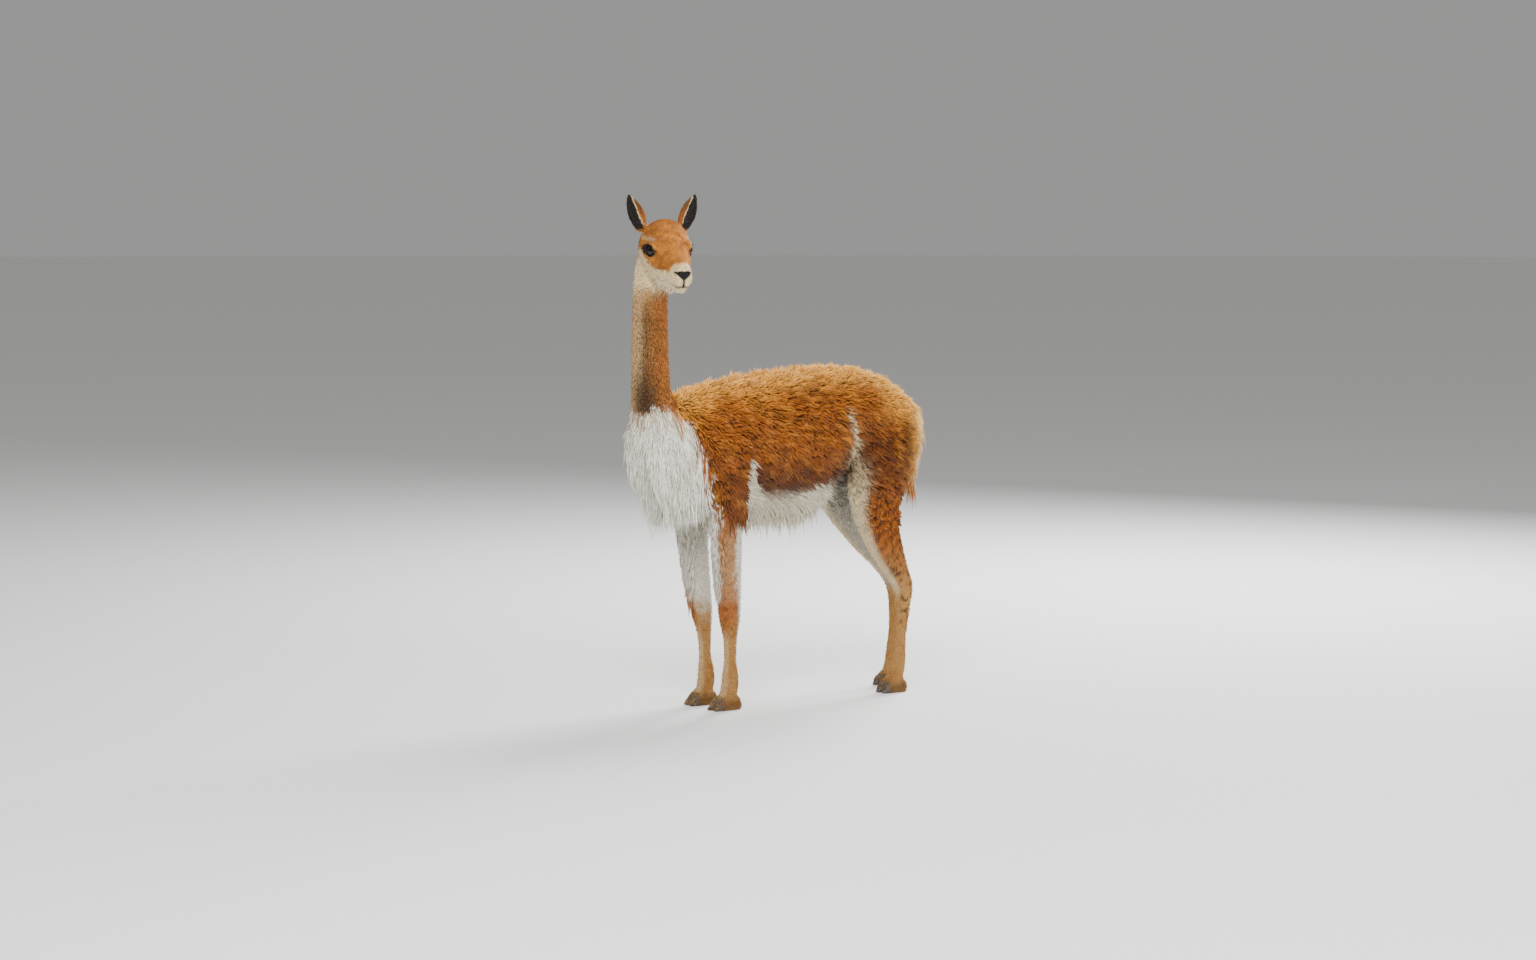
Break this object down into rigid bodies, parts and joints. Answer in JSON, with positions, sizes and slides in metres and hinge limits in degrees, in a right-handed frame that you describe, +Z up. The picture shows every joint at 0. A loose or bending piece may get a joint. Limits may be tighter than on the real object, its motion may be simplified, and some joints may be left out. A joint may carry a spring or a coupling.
{
  "type": "vicuna",
  "caption": "Life-size standing vicuna, head turned to its left, with long chest bib, hanging belly fringe and bushy tail.",
  "frame": {"origin": "on the floor, under the middle of the whole figure's bounding box", "axes": "+Z up from the floor; the body points along -X, and the animal's left side is towards -Y"},
  "size_m": [0.977, 0.3652, 1.3735],
  "materials": {
    "fleece": "soft fine fleece, cinnamon",
    "white": "long soft white hair",
    "fawn": "short close coat",
    "face": "short close coat",
    "ear": "short close coat",
    "horn": "dull dark horn",
    "eye": "wet and glossy"
  },
  "bodies": {
    "root": {"torso": "fleece", "chest": "white", "neck": "fleece", "head": "face", "tail": "fleece", "ear_left": "ear", "ear_right": "ear", "eye_left": "eye", "eye_right": "eye", "leg_fore_left": "fawn", "leg_fore_right": "fawn", "leg_hind_left": "fawn", "leg_hind_right": "fawn", "nail_fore_left_inner": "horn", "nail_fore_left_outer": "horn", "nail_fore_right_inner": "horn", "nail_fore_right_outer": "horn", "nail_hind_left_inner": "horn", "nail_hind_left_outer": "horn", "nail_hind_right_inner": "horn", "nail_hind_right_outer": "horn"}
  },
  "joints": []
}
